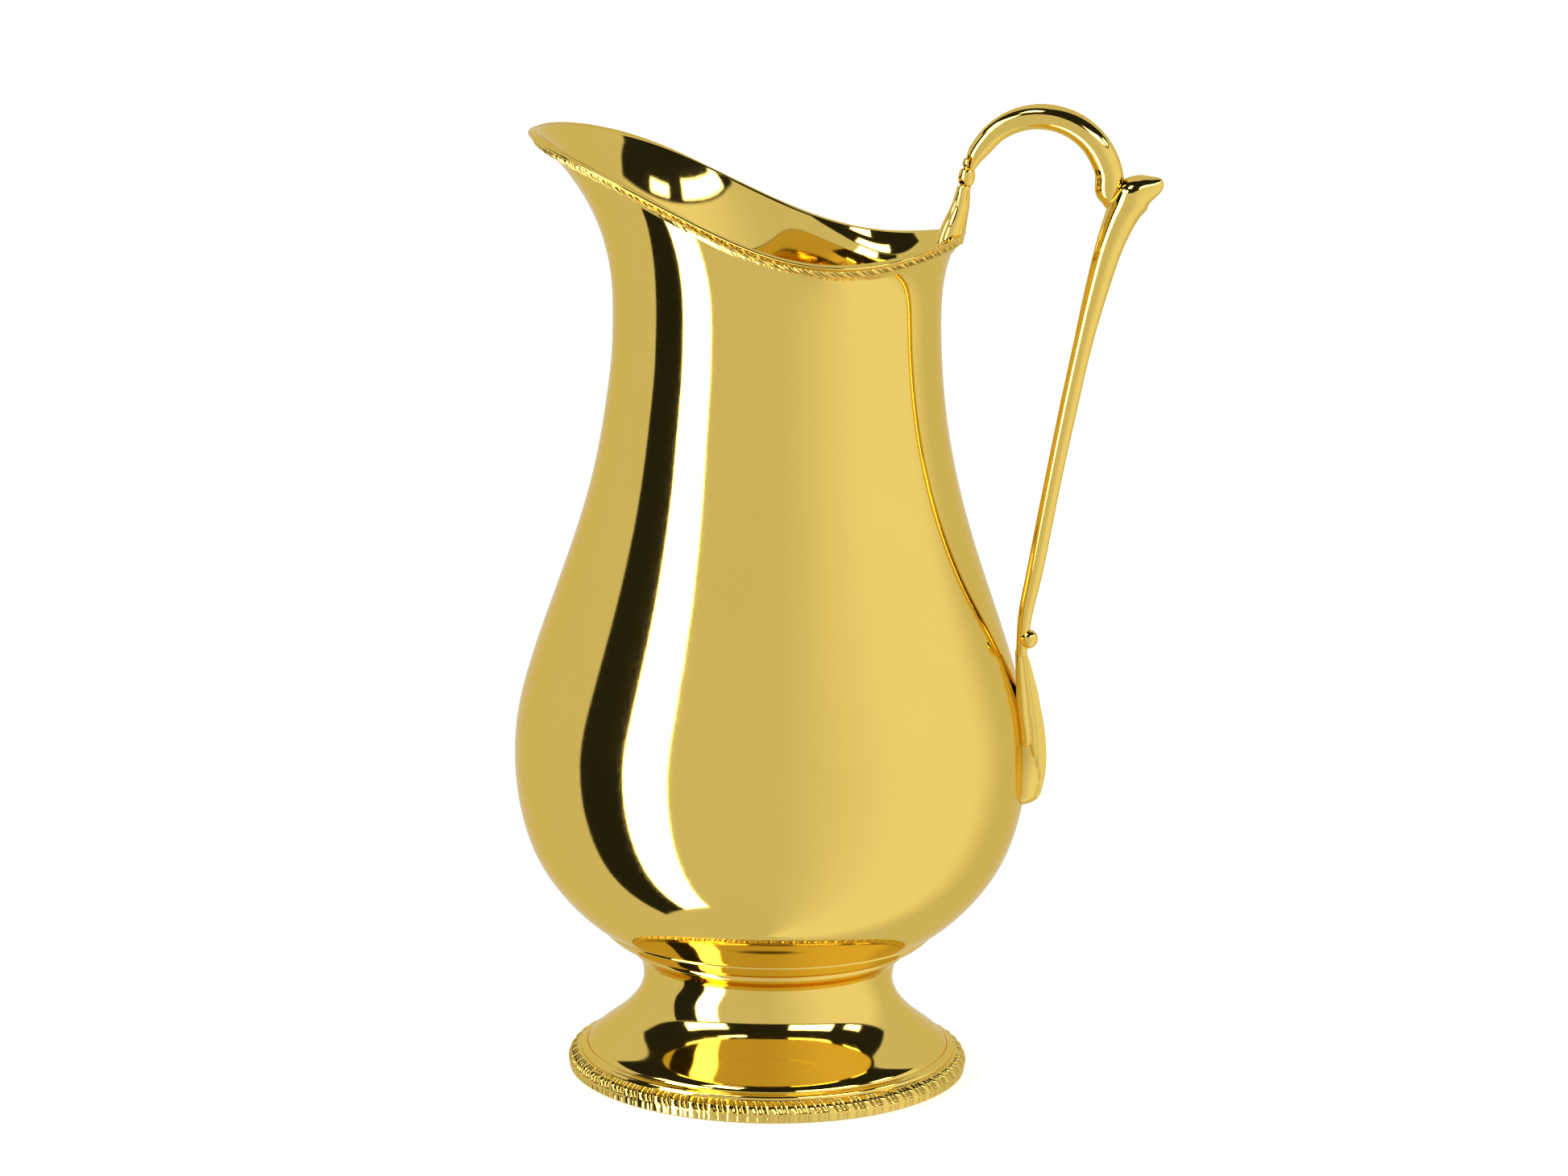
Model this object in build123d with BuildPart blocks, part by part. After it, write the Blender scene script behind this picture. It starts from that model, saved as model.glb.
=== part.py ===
"""Footed water pitcher with a pouring lip and a scrolled handle, millimetres.

The origin is the centre of the foot's resting face, +Z is up, the handle points
along +X and the spout along -X.  The vessel is raised sheet with its bottom
closed; foot, collars, borders and handle castings are soldered to it.
"""
import os
from math import cos, hypot, pi, sin

from build123d import *

os.makedirs("parts", exist_ok=True)

# ---------------------------------------------------------------- vessel
WALL = 1.2                      # sheet thickness of the vessel
NECK_R, NECK_Z = 46.2, 217.5    # narrowest ring of the vessel, outer radius and height
# outer profile from the centre of the bottom up to the neck, as (radius, height)
BOTTOM_Z = 36.2
BODY_PROFILE = [
    (0.0, BOTTOM_Z), (30.0, 37.0), (40.0, 38.7), (48.0, 42.4), (58.7, 51.5), (66.8, 63.0),
    (71.3, 75.6), (73.3, 91.0), (72.4, 105.0), (69.0, 119.1), (62.9, 137.4), (55.9, 158.0),
    (50.5, 178.6), (47.3, 199.2), (NECK_R, NECK_Z),
]

# ---------------------------------------------------------------- lip and rim
LIP_TOP_Z = 276.0               # height up to which the flare is made before it is trimmed
LIP_SECTIONS = 8                # horizontal outlines that the flare runs through
OUTLINE_POINTS = 24             # points round each outline, at the same parameters in all
RIM_INSET = 1.2                 # the sheet's outer face lies this far inside the rim line
BORDER_PROUD = 1.5              # how far the border stands out from the sheet
WIRE_PROUD = 1.15               # the same for the edge wire
WIRE_HALF = 0.55                # half the height of the edge wire
BORDER_HEIGHT = 5.2             # gadroon lobes and the plain band under them
CREST_POINTS = 13               # points of the rim's side view, from handle to spout
CLEAR = 130.0                   # further from the axis than any part reaches

# ---------------------------------------------------------------- foot
FOOT_REST_R, FOOT_BORE_R = 56.0, 51.0
BAND_R, BAND_TOP_Z = 57.5, 3.0
BAND_EDGE = (57.2, 0.9)         # where the band's outer face starts, above its rounded foot
GADROON_TOP_R, GADROON_TOP_Z = 54.8, 6.0
GADROON_SWELL = (56.75, 4.8)    # point that the border's swell passes through
STEP_R, STEP_TOP_R, STEP_TOP_Z = 54.0, 52.4, 7.5
STEP_HOLLOW = (53.4, 7.0)       # point that the step's hollow passes through
PEDESTAL_EDGE_R = 52.0
PEDESTAL_WALL = 1.3
PEDESTAL_TOP_R, PEDESTAL_TOP_Z = 36.8, 32.5
PEDESTAL_PROFILE = [
    (51.6, STEP_TOP_Z), (48.5, 10.9), (44.2, 14.2), (40.1, 18.2), (37.4, 22.0),
    (35.9, 27.4), (PEDESTAL_TOP_R, PEDESTAL_TOP_Z),
]
COLLAR_TOP_R, COLLAR_TOP_Z, COLLAR_WALL = 40.4, 37.1, 2.4
COLLAR_SWELL = (38.2, 34.3)     # point that the collar's outer face passes through
SEAT_R, SEAT_Z = 48.0, 42.0     # outer edge of the seat ring against the vessel
SEAT_BELLY = (44.6, 39.0)       # point that the seat ring's outer face passes through
FOOT_GAP = 0.2                  # the seat ring starts this far above the collar's shoulder
TRIM_Z = 47.0                   # collar and seat ring are drawn to here, then cut by the vessel

# ---------------------------------------------------------------- handle
OVAL = 1.12                     # handle sections are this much wider across than in profile
SCROLL_X, SCROLL_Z = 73.6, 258.0
SCROLL_R, SCROLL_OPENING = 18.7, 1.49e-4   # radius at the crown, growth per degree squared
SCROLL_CROWN = 68.0             # angle of the tightest radius
SCROLL_FIRST, SCROLL_LAST, SCROLL_STATIONS = -18.0, 162.0, 13
SCROLL_HALF, SCROLL_TAPER = 4.35, 0.0105   # half thickness at angle 0, loss per degree
# from the thumb spur's tip to where the stem runs straight, as (x, z, half thickness)
SPUR = [
    (107.3, 259.6, 0.5), (106.5, 259.3, 1.7), (104.8, 258.6, 2.6), (102.2, 257.4, 3.6),
    (99.4, 255.2, 4.6), (97.0, 251.9, 4.75), (95.0, 247.6, 4.25), (93.2, 242.6, 3.95),
    (91.2, 235.2, 3.6),
]
# the straight, tapering stem below it
STEM = [
    SPUR[-1], (88.6, 224.5, 3.1), (86.6, 215.4, 2.75), (81.2, 188.0, 2.5), (74.7, 151.1, 2.3),
    (72.2, 137.1, 2.05), (71.1, 129.5, 1.7), (70.9, 125.4, 1.6),
]
BALL_X, BALL_Z, BALL_R = 73.1, 129.5, 2.75
# leaf against the vessel's belly, as (height, reach from the sheet, half width)
LEAF = [
    (125.4, 4.3, 2.0), (119.0, 5.5, 4.2), (110.0, 6.1, 6.1), (100.0, 6.0, 6.8),
    (92.0, 5.3, 6.6), (86.0, 4.3, 5.2), (81.6, 1.8, 2.2),
]
RIM_LEAF_TOP_Z = 256.4
# the scroll's thin end, down to the leaf's top, as (x, z, half thickness)
SCROLL_END = [(54.7, 260.0, 1.3), (53.2, RIM_LEAF_TOP_Z, 1.0)]
# leaf over the rim, as (height, centre x, half depth, half width)
RIM_LEAF = [(RIM_LEAF_TOP_Z, 52.0, 2.0, 2.4), (251.0, 51.0, 2.8, 3.8),
            (246.0, 49.6, 3.4, 5.6), (241.0, 48.3, 3.9, 6.6)]
SADDLE_X, SADDLE_WIDTH = 40.0, 40.0   # the rim is cleared from here outwards, over this width
BEAD_X, BEAD_LEAN = 52.1, 0.13        # foot of the bead stack, and its lean per unit of height
BEAD_NECK_R, BEAD_R = 1.5, 2.15       # radii of the thin rings and of the large bead
BEAD_LOW, BEAD_HIGH = 0.6, 4.8        # heights between which the large bead swells
CAP_LOW, CAP_MID, CAP_TOP = 5.3, 6.6, 8.2   # heights of the small bead on top of it


def between(start, end, count):
    """Evenly spaced numbers from start to end."""
    return [start + (end - start) * i / (count - 1) for i in range(count)]


def rim_line(t):
    """Point of the rim at parameter t: 0 at the handle, pi at the tip of the spout."""
    x = -8.45 + 59.8 * cos(t) - 0.5 * cos(2 * t) + 1.65 * cos(3 * t)
    y = 54.0 * sin(t) + 1.44 * sin(2 * t) + 5.27 * sin(3 * t)
    z = 251.0 - 15.55 * cos(t) + 5.29 * cos(2 * t) + 2.31 * cos(3 * t)
    return x, y, z


def lip_outline(height, grow):
    """Closed outline of the flaring lip at a height, grown outwards from the sheet's face."""
    points = []
    for i in range(OUTLINE_POINTS):
        t = 2 * pi * i / OUTLINE_POINTS
        rim_x, rim_y, rim_z = rim_line(t)
        rise = max(height - NECK_Z, 0.0) / (rim_z - NECK_Z)
        power = 2.7 + 0.2 * cos(t)
        flare = rise**power if rise < 1 else 1 + power * (rise - 1)
        neck_x, neck_y = NECK_R * cos(t), NECK_R * sin(t)
        top_x, top_y = rim_x - RIM_INSET * cos(t), rim_y - RIM_INSET * sin(t)
        points.append((neck_x + (top_x - neck_x) * flare + grow * cos(t),
                       neck_y + (top_y - neck_y) * flare + grow * sin(t)))
    return points


def lip_solid(grow):
    """Solid flare from the neck upwards, grown outwards by a distance."""
    with BuildPart() as flare:
        for height in between(NECK_Z, LIP_TOP_Z, LIP_SECTIONS):
            with BuildSketch(Plane.XY.offset(height)):
                if height == NECK_Z:
                    Circle(NECK_R + grow)
                else:
                    with BuildLine():
                        add(Edge.make_spline(lip_outline(height, grow), periodic=True,
                                             parameters=between(0, 1, OUTLINE_POINTS + 1)))
                    make_face()
        loft()
    return flare.part


def below_rim(drop):
    """Everything lower than a distance under the rim line, as a block to keep a part within."""
    edge = [rim_line(t) for t in between(0, pi, CREST_POINTS)]
    crest = [(x, z - drop) for x, _, z in edge]
    with BuildPart() as block:
        with BuildSketch(Plane.XZ):
            with BuildLine():
                rim = Spline(*crest)
                Polyline(rim @ 1, (-CLEAR, crest[-1][1]), (-CLEAR, -CLEAR), (CLEAR, -CLEAR),
                         (CLEAR, crest[0][1]), rim @ 0)
            make_face()
        extrude(amount=CLEAR, both=True)
    return block.part


def inset(points, distance):
    """Move a profile sideways, to the left of its direction, by a distance."""
    moved = []
    for i, (x, z) in enumerate(points):
        before, after = points[max(i - 1, 0)], points[min(i + 1, len(points) - 1)]
        run, climb = after[0] - before[0], after[1] - before[1]
        length = hypot(run, climb)
        moved.append((x - distance * climb / length, z + distance * run / length))
    return moved


def vessel_solid(grow):
    """The vessel from its bottom to above the rim, without a hollow, grown by a distance."""
    profile = inset(BODY_PROFILE, -grow)
    profile[0] = (0.0, BOTTOM_Z - grow)
    profile[-1] = (NECK_R + grow, NECK_Z)
    with BuildPart() as vessel:
        with BuildSketch(Plane.XZ):
            with BuildLine():
                side = Spline(*profile, tangents=((1, 0), (0, 1)))
                Polyline(side @ 1, (0, NECK_Z), side @ 0)
            make_face()
        revolve(axis=Axis.Z)
        add(lip_solid(grow))
    return vessel.part


def section_planes(stations):
    """Planes square to a path in the XZ plane, one at each of its stations."""
    planes = []
    for i, (x, z) in enumerate(stations):
        before, after = stations[max(i - 1, 0)], stations[min(i + 1, len(stations) - 1)]
        along = Vector(after[0] - before[0], 0, after[1] - before[1])
        planes.append(Plane(origin=(x, 0, z), x_dir=(0, 1, 0), z_dir=along))
    return planes


vessel_outside = vessel_solid(0)
vessel_inside = vessel_solid(-WALL)

# ------------------------------------------------------------------ vessel
with BuildPart() as body_shell:
    add(vessel_outside)
    add(vessel_inside, mode=Mode.SUBTRACT)
    add(below_rim(WIRE_HALF), mode=Mode.INTERSECT)
body_shell.part.label = "body_shell"

with BuildPart() as rim_edge_wire:
    add(lip_solid(WIRE_PROUD))
    add(lip_solid(-WALL), mode=Mode.SUBTRACT)
    add(below_rim(-WIRE_HALF), mode=Mode.INTERSECT)
    add(below_rim(WIRE_HALF), mode=Mode.SUBTRACT)
rim_edge_wire.part.label = "rim_edge_wire"

with BuildPart() as rim_gadroon_border:
    add(lip_solid(BORDER_PROUD))
    add(lip_solid(0), mode=Mode.SUBTRACT)
    add(below_rim(WIRE_HALF), mode=Mode.INTERSECT)
    add(below_rim(WIRE_HALF + BORDER_HEIGHT), mode=Mode.SUBTRACT)
rim_gadroon_border.part.label = "rim_gadroon_border"

# ------------------------------------------------------------------ foot
with BuildPart() as foot_base_band:
    with BuildSketch(Plane.XZ):
        with BuildLine():
            Polyline((FOOT_BORE_R, 0), (FOOT_REST_R, 0), BAND_EDGE,
                     (BAND_R, BAND_TOP_Z), (FOOT_BORE_R, BAND_TOP_Z), close=True)
        make_face()
    revolve(axis=Axis.Z)
foot_base_band.part.label = "foot_base_band"

with BuildPart() as foot_gadroon_border:
    with BuildSketch(Plane.XZ):
        with BuildLine():
            swell = ThreePointArc((BAND_R, BAND_TOP_Z), GADROON_SWELL,
                                  (GADROON_TOP_R, GADROON_TOP_Z))
            Polyline(swell @ 1, (FOOT_BORE_R, GADROON_TOP_Z), (FOOT_BORE_R, BAND_TOP_Z), swell @ 0)
        make_face()
    revolve(axis=Axis.Z)
foot_gadroon_border.part.label = "foot_gadroon_border"

with BuildPart() as foot_step_ring:
    with BuildSketch(Plane.XZ):
        with BuildLine():
            hollow = ThreePointArc((STEP_R, GADROON_TOP_Z), STEP_HOLLOW, (STEP_TOP_R, STEP_TOP_Z))
            Polyline(hollow @ 1, (PEDESTAL_EDGE_R, STEP_TOP_Z), (PEDESTAL_EDGE_R, GADROON_TOP_Z),
                     hollow @ 0)
        make_face()
    revolve(axis=Axis.Z)
foot_step_ring.part.label = "foot_step_ring"

with BuildPart() as foot_pedestal:
    outside = [(PEDESTAL_EDGE_R, GADROON_TOP_Z)] + PEDESTAL_PROFILE
    inside = inset(outside, PEDESTAL_WALL)
    inside[0] = (PEDESTAL_EDGE_R - PEDESTAL_WALL, GADROON_TOP_Z)
    inside[-1] = (PEDESTAL_TOP_R - PEDESTAL_WALL, PEDESTAL_TOP_Z)
    with BuildSketch(Plane.XZ):
        with BuildLine():
            outer = Spline(*outside)
            inner = Spline(*inside)
            Line(outer @ 0, inner @ 0)
            Line(outer @ 1, inner @ 1)
        make_face()
    revolve(axis=Axis.Z)
foot_pedestal.part.label = "foot_pedestal"

with BuildPart() as stem_collar:
    with BuildSketch(Plane.XZ):
        with BuildLine():
            swell = ThreePointArc((PEDESTAL_TOP_R, PEDESTAL_TOP_Z), COLLAR_SWELL,
                                  (COLLAR_TOP_R, COLLAR_TOP_Z))
            Polyline(swell @ 1, (COLLAR_TOP_R, TRIM_Z), (COLLAR_TOP_R - COLLAR_WALL, TRIM_Z),
                     (COLLAR_TOP_R - COLLAR_WALL, COLLAR_TOP_Z),
                     (PEDESTAL_TOP_R - PEDESTAL_WALL, PEDESTAL_TOP_Z), swell @ 0)
        make_face()
    revolve(axis=Axis.Z)
    add(vessel_outside, mode=Mode.SUBTRACT)
stem_collar.part.label = "stem_collar"

with BuildPart() as body_seat_ring:
    with BuildSketch(Plane.XZ):
        with BuildLine():
            belly = ThreePointArc((COLLAR_TOP_R, COLLAR_TOP_Z + FOOT_GAP), SEAT_BELLY,
                                  (SEAT_R, SEAT_Z))
            Polyline(belly @ 1, (SEAT_R, TRIM_Z), (COLLAR_TOP_R, TRIM_Z), belly @ 0)
        make_face()
    revolve(axis=Axis.Z)
    add(vessel_outside, mode=Mode.SUBTRACT)
body_seat_ring.part.label = "body_seat_ring"

# ------------------------------------------------------------------ handle
with BuildPart() as handle_stem:
    whole = section_planes([(x, z) for x, z, _ in SPUR + STEM[1:]])
    spur_planes, stem_planes = whole[:len(SPUR)], whole[len(SPUR) - 1:]
    for planes, stations, straight in ((spur_planes, SPUR, False), (stem_planes, STEM, True)):
        for plane, (_, _, half) in zip(planes, stations):
            with BuildSketch(plane):
                Ellipse(half * OVAL, half)
        loft(ruled=straight)
handle_stem.part.label = "handle_stem"

with BuildPart() as handle_scroll:
    scroll = []
    for angle in between(SCROLL_FIRST, SCROLL_LAST, SCROLL_STATIONS):
        reach = SCROLL_R + SCROLL_OPENING * (angle - SCROLL_CROWN) ** 2
        turn = angle * pi / 180
        scroll.append((SCROLL_X + reach * cos(turn), SCROLL_Z + reach * sin(turn),
                       SCROLL_HALF - SCROLL_TAPER * angle))
    scroll += SCROLL_END
    planes = section_planes([(x, z) for x, z, _ in scroll])
    planes[-1] = Plane(origin=planes[-1].origin, x_dir=(0, 1, 0), z_dir=(0, 0, -1))
    for plane, (_, _, half) in zip(planes, scroll):
        with BuildSketch(plane):
            Ellipse(half * OVAL, half)
    loft()
    add(handle_stem.part, mode=Mode.SUBTRACT)
handle_scroll.part.label = "handle_scroll"

with BuildPart() as handle_beads:
    stack = Plane(origin=(BEAD_X, 0, RIM_LEAF_TOP_Z), x_dir=(1, 0, -BEAD_LEAN),
                  z_dir=(0, -1, 0))
    with BuildSketch(stack):
        with BuildLine():
            Polyline((0, 0), (BEAD_NECK_R, 0), (BEAD_NECK_R, BEAD_LOW))
            ThreePointArc((BEAD_NECK_R, BEAD_LOW), (BEAD_R, (BEAD_LOW + BEAD_HIGH) / 2),
                          (BEAD_NECK_R, BEAD_HIGH))
            Line((BEAD_NECK_R, BEAD_HIGH), (BEAD_NECK_R, CAP_LOW))
            ThreePointArc((BEAD_NECK_R, CAP_LOW), (BEAD_NECK_R, CAP_MID), (0, CAP_TOP))
            Line((0, CAP_TOP), (0, 0))
        make_face()
    revolve(axis=Axis(stack.origin, stack.y_dir))
    add(handle_scroll.part, mode=Mode.SUBTRACT)
handle_beads.part.label = "handle_beads"

# the block that the leaf sits astride: the rim and everything outside it
with BuildPart() as rim_saddle:
    with Locations((SADDLE_X, 0, 0)):
        Box(SADDLE_WIDTH, SADDLE_WIDTH, LIP_TOP_Z, align=(Align.MIN, Align.CENTER, Align.MIN))
    add(below_rim(-WIRE_HALF), mode=Mode.INTERSECT)
    add(lip_solid(-WALL), mode=Mode.SUBTRACT)

with BuildPart() as handle_rim_leaf:
    for height, centre_x, half_depth, half_width in RIM_LEAF:
        with BuildSketch(Plane.XY.offset(height)):
            with Locations((centre_x, 0)):
                Ellipse(half_depth, half_width)
    loft()
    add(rim_saddle.part, mode=Mode.SUBTRACT)
handle_rim_leaf.part.label = "handle_rim_leaf"

with BuildPart() as handle_ball:
    with Locations((BALL_X, 0, BALL_Z)):
        Sphere(BALL_R)
    add(handle_stem.part, mode=Mode.SUBTRACT)
handle_ball.part.label = "handle_ball"

with BuildPart() as handle_belly_leaf:
    sheet = Spline(*BODY_PROFILE[3:])      # the vessel's side, in the XZ plane
    for height, reach, half_width in LEAF:
        level = Line((0, height), (CLEAR, height))
        sheet_x = min(point.X for point in sheet.intersect(level))
        with BuildSketch(Plane.XY.offset(height)):
            with Locations((sheet_x, 0)):
                Ellipse(reach, half_width)
    loft()
    for neighbour in (vessel_outside, handle_stem.part, handle_ball.part):
        add(neighbour, mode=Mode.SUBTRACT)
handle_belly_leaf.part.label = "handle_belly_leaf"

pieces = (body_shell, rim_edge_wire, rim_gadroon_border, body_seat_ring, stem_collar,
          foot_pedestal, foot_step_ring, foot_gadroon_border, foot_base_band,
          handle_rim_leaf, handle_beads, handle_scroll, handle_stem, handle_ball,
          handle_belly_leaf)
for piece in pieces:
    export_step(piece.part, f"parts/{piece.part.label}.step")
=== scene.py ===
"""Polished gold water pitcher: smooth high-resolution surfaces over the CAD frame."""
from math import cos, pi, radians, sin

import bpy
import numpy as np
from mathutils import Euler, Matrix, Vector


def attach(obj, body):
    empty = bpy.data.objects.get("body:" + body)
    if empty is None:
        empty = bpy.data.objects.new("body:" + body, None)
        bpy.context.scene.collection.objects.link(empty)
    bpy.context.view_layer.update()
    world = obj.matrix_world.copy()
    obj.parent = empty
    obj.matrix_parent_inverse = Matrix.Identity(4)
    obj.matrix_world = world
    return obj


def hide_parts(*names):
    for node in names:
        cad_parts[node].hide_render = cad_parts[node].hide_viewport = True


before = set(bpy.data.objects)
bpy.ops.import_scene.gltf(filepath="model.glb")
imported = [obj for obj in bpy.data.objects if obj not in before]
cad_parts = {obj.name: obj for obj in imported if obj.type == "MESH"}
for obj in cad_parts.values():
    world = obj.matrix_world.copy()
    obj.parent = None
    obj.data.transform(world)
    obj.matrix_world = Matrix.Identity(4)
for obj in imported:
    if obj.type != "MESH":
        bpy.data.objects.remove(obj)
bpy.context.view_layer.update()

MM = 0.001
TURN = 2 * pi

# ------------------------------------------------------------------ driving sizes, millimetres
WALL = 1.2                           # thickness of the vessel's sheet
NECK_R, NECK_Z = 46.2, 217.5
BODY_PROFILE = [                     # (r, z) of the sheet's outer face, from bottom to neck
    (0.0, 36.2), (30.0, 37.0), (40.0, 38.7), (48.0, 42.4), (58.7, 51.5), (66.8, 63.0),
    (71.3, 75.6), (73.27, 91.0), (72.4, 105.0), (69.0, 119.1), (62.9, 137.4), (55.9, 158.0),
    (50.5, 178.6), (47.3, 199.2), (NECK_R, NECK_Z),
]
LIP_STEPS = (0.15, 0.3, 0.45, 0.6, 0.72, 0.82, 0.91, 1.0)   # knots of the flare, neck to rim
LIP_LENGTH = 34.0                    # nominal length of the flare along the sheet
RIM_INSET = 1.2                      # the sheet's outer face lies this far inside the rim line
WIRE_PROUD, WIRE_HALF = 1.15, 0.55   # half width and half height of the wire on the edge
LOBE_BAND, PLAIN_BAND = 3.0, 2.2     # heights of the two bands of the rim border
LOBE_GROUP = ((0.0, 0.50, 1.0), (0.50, 0.80, 0.8), (0.80, 1.0, 0.6))    # from, to, height
RIM_REPEATS, FOOT_REPEATS = 82, 63   # groups of lobes round the rim and round the foot
RIM_SLANT, FOOT_SLANT = 0.6, 0.25    # lean of the lobes, in groups, over their height
COLUMNS = 320                        # points round the vessel and the plain turned rings


# ------------------------------------------------------------------ curves
def spline(knots, values, start=None):
    """Cubic spline through values at knots, natural or with a given slope at its start."""
    k = np.asarray(knots, float)
    v = np.asarray(values, float).reshape(len(k), -1)
    n, h = len(k), np.diff(k)
    a, b = np.zeros((n, n)), np.zeros((n, v.shape[1]))
    slope = np.diff(v, axis=0) / h[:, None]
    for i in range(1, n - 1):
        a[i, i - 1:i + 2] = h[i - 1], 2 * (h[i - 1] + h[i]), h[i]
        b[i] = 6 * (slope[i] - slope[i - 1])
    a[0, 0] = a[-1, -1] = 1
    if start is not None:
        a[0, :2] = 2 * h[0], h[0]
        b[0] = 6 * (slope[0] - start)
    m = np.linalg.solve(a, b)

    def at(q):
        q = np.atleast_1d(np.asarray(q, float))
        i = np.clip(np.searchsorted(k, q) - 1, 0, n - 2)
        s, hi = (q - k[i])[:, None], h[i][:, None]
        r = hi - s
        return (m[i] * r**3 + m[i + 1] * s**3) / (6 * hi) \
            + (v[i] / hi - m[i] * hi / 6) * r + (v[i + 1] / hi - m[i + 1] * hi / 6) * s
    return at


def lengths(points):
    """Distance along a list of points, starting at 0."""
    steps = np.linalg.norm(np.diff(np.asarray(points, float), axis=0), axis=1)
    return np.concatenate([[0], np.cumsum(steps)])


def rounded(points, count):
    """Evenly spaced points on the smooth curve through a few points."""
    at = spline(lengths(points), points)
    fine = at(np.linspace(0, lengths(points)[-1], 4 * count))
    run = lengths(fine)
    where = np.linspace(0, run[-1], count)
    return np.stack([np.interp(where, run, fine[:, i]) for i in range(fine.shape[1])], 1)


def smoothstep(low, high, x):
    """Soft step from 0 at low to 1 at high."""
    t = np.clip((x - low) / (high - low), 0, 1)
    return t * t * (3 - 2 * t)


# ------------------------------------------------------------------ meshes
def grid_normals(points):
    """Outward normals of a grid whose columns close on themselves."""
    across = np.roll(points, -1, 1) - np.roll(points, 1, 1)
    along = np.gradient(points, axis=0)
    n = np.cross(across, along)
    size = np.linalg.norm(n, axis=2, keepdims=True)
    n = n / np.maximum(size, 1e-9)
    for row, inner in ((0, 1), (-1, -2)):
        if size[row].max() < 1e-6:
            n[row] = n[inner].mean(0) / np.linalg.norm(n[inner].mean(0))
    return n


def piece_from_grid(name, points, hollow_shade=None, loop=False, sharp=None):
    """Closed object from a grid in millimetres: columns close, ends are poles or a loop.

    hollow is the grid of shares of painted shade in the hollows, sharp the angle from which edges
    stay sharp.
    """
    rows, cols = points.shape[:2]
    ends = [np.ptp(points[r], axis=0).max() < 1e-5 for r in (0, -1)]
    verts, shade_shares, index = [], [], np.zeros((rows, cols), int)
    for r in range(rows):
        pole = (r == 0 and ends[0]) or (r == rows - 1 and ends[1])
        use = points[r, :1] if pole else points[r]
        index[r] = len(shade_shares) + (0 if pole else np.arange(cols))
        verts.append(use)
        shade_shares.extend([0.0] * len(use) if hollow_shade is None else list(hollow_shade[r, :len(use)]))
    verts = np.concatenate(verts) * MM
    faces = []
    for r in range(rows if loop else rows - 1):
        a, b = index[r], index[(r + 1) % rows]
        a2, b2 = np.roll(a, -1), np.roll(b, -1)
        if a[0] == a[1]:
            faces += [(int(p), int(q), int(s)) for p, q, s in zip(a, b2, b)]
        elif b[0] == b[1]:
            faces += [(int(p), int(q), int(s)) for p, q, s in zip(a, a2, b)]
        else:
            faces += [tuple(map(int, f)) for f in zip(a, a2, b2, b)]
    mesh = bpy.data.meshes.new(name)
    mesh.from_pydata(verts.tolist(), [], faces)
    mesh.validate()
    # per-point share of painted shade in the hollows, read by the gold material
    shade_attribute = mesh.attributes.new("hollow_shade", "FLOAT", "POINT")
    shade_attribute.data.foreach_set("value", np.asarray(shade_shares, np.float32))
    mesh.shade_smooth()
    if sharp:
        mesh.set_sharp_from_angle(angle=radians(sharp))
    obj = bpy.data.objects.new(name, mesh)
    bpy.context.scene.collection.objects.link(obj)
    return obj


def lathe(name, profile, shape=None, cols=COLUMNS, **more):
    """Turned ring or cup from an (r, z) outline; shape may move the points of the grid and give
    their painted shade.
    """
    profile = np.asarray(profile, float)
    t = np.linspace(0, TURN, cols, endpoint=False)
    r, z = profile[:, :1], profile[:, 1:2]
    points = np.stack([r * np.cos(t), r * np.sin(t), z + 0 * t], 2)
    hollow_shade = None
    if shape is not None:
        points, hollow_shade = shape(points, t)
    return piece_from_grid(name, points, hollow_shade, **more)


def fitted(obj, slot_name, material, *nodes):
    """Puts a finished piece on the body in place of its CAD nodes."""
    obj.data.materials.clear()
    obj.data.materials.append(material)
    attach(obj, "root")
    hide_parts(*nodes)
    return obj


def rod(name, stations, count, sides=64, oval=1.12):
    """Tapering rod along a curved path in the XZ plane, from (x, z, half thickness)."""
    line = rounded(stations, count)
    along = np.gradient(line[:, :2], axis=0)
    along /= np.linalg.norm(along, axis=1, keepdims=True)
    side = np.stack([along[:, 1], -along[:, 0]], 1)
    phi = np.linspace(0, TURN, sides, endpoint=False)
    half = np.maximum(line[:, 2:3], 0)
    lift = half * np.cos(phi)
    width = half * oval * np.sin(phi)
    points = np.stack([line[:, :1] + side[:, :1] * lift, width,
                       line[:, 1:2] + side[:, 1:] * lift], 2)
    caps = [np.repeat(points[r].mean(0)[None, None], sides, 1) for r in (0, -1)]
    return piece_from_grid(name, np.concatenate([caps[0], points, caps[1]]))


# ------------------------------------------------------------------ gold
GOLD = (0.84, 0.607, 0.145)
GOLD_AT_EDGES = (0.96, 0.84, 0.52, 1)     # tint of the reflection at grazing angles
# dark gold painted into the base colour in the valleys of lobes, ribs and flutes, as painted shade
HOLLOW_PAINTED_SHADE = (0.13, 0.08, 0.012, 1)
CLOUD_SCALE, HAIRLINE_SCALE = 28.0, 900.0     # noise per metre: faint clouds of colour, fine wear


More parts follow.
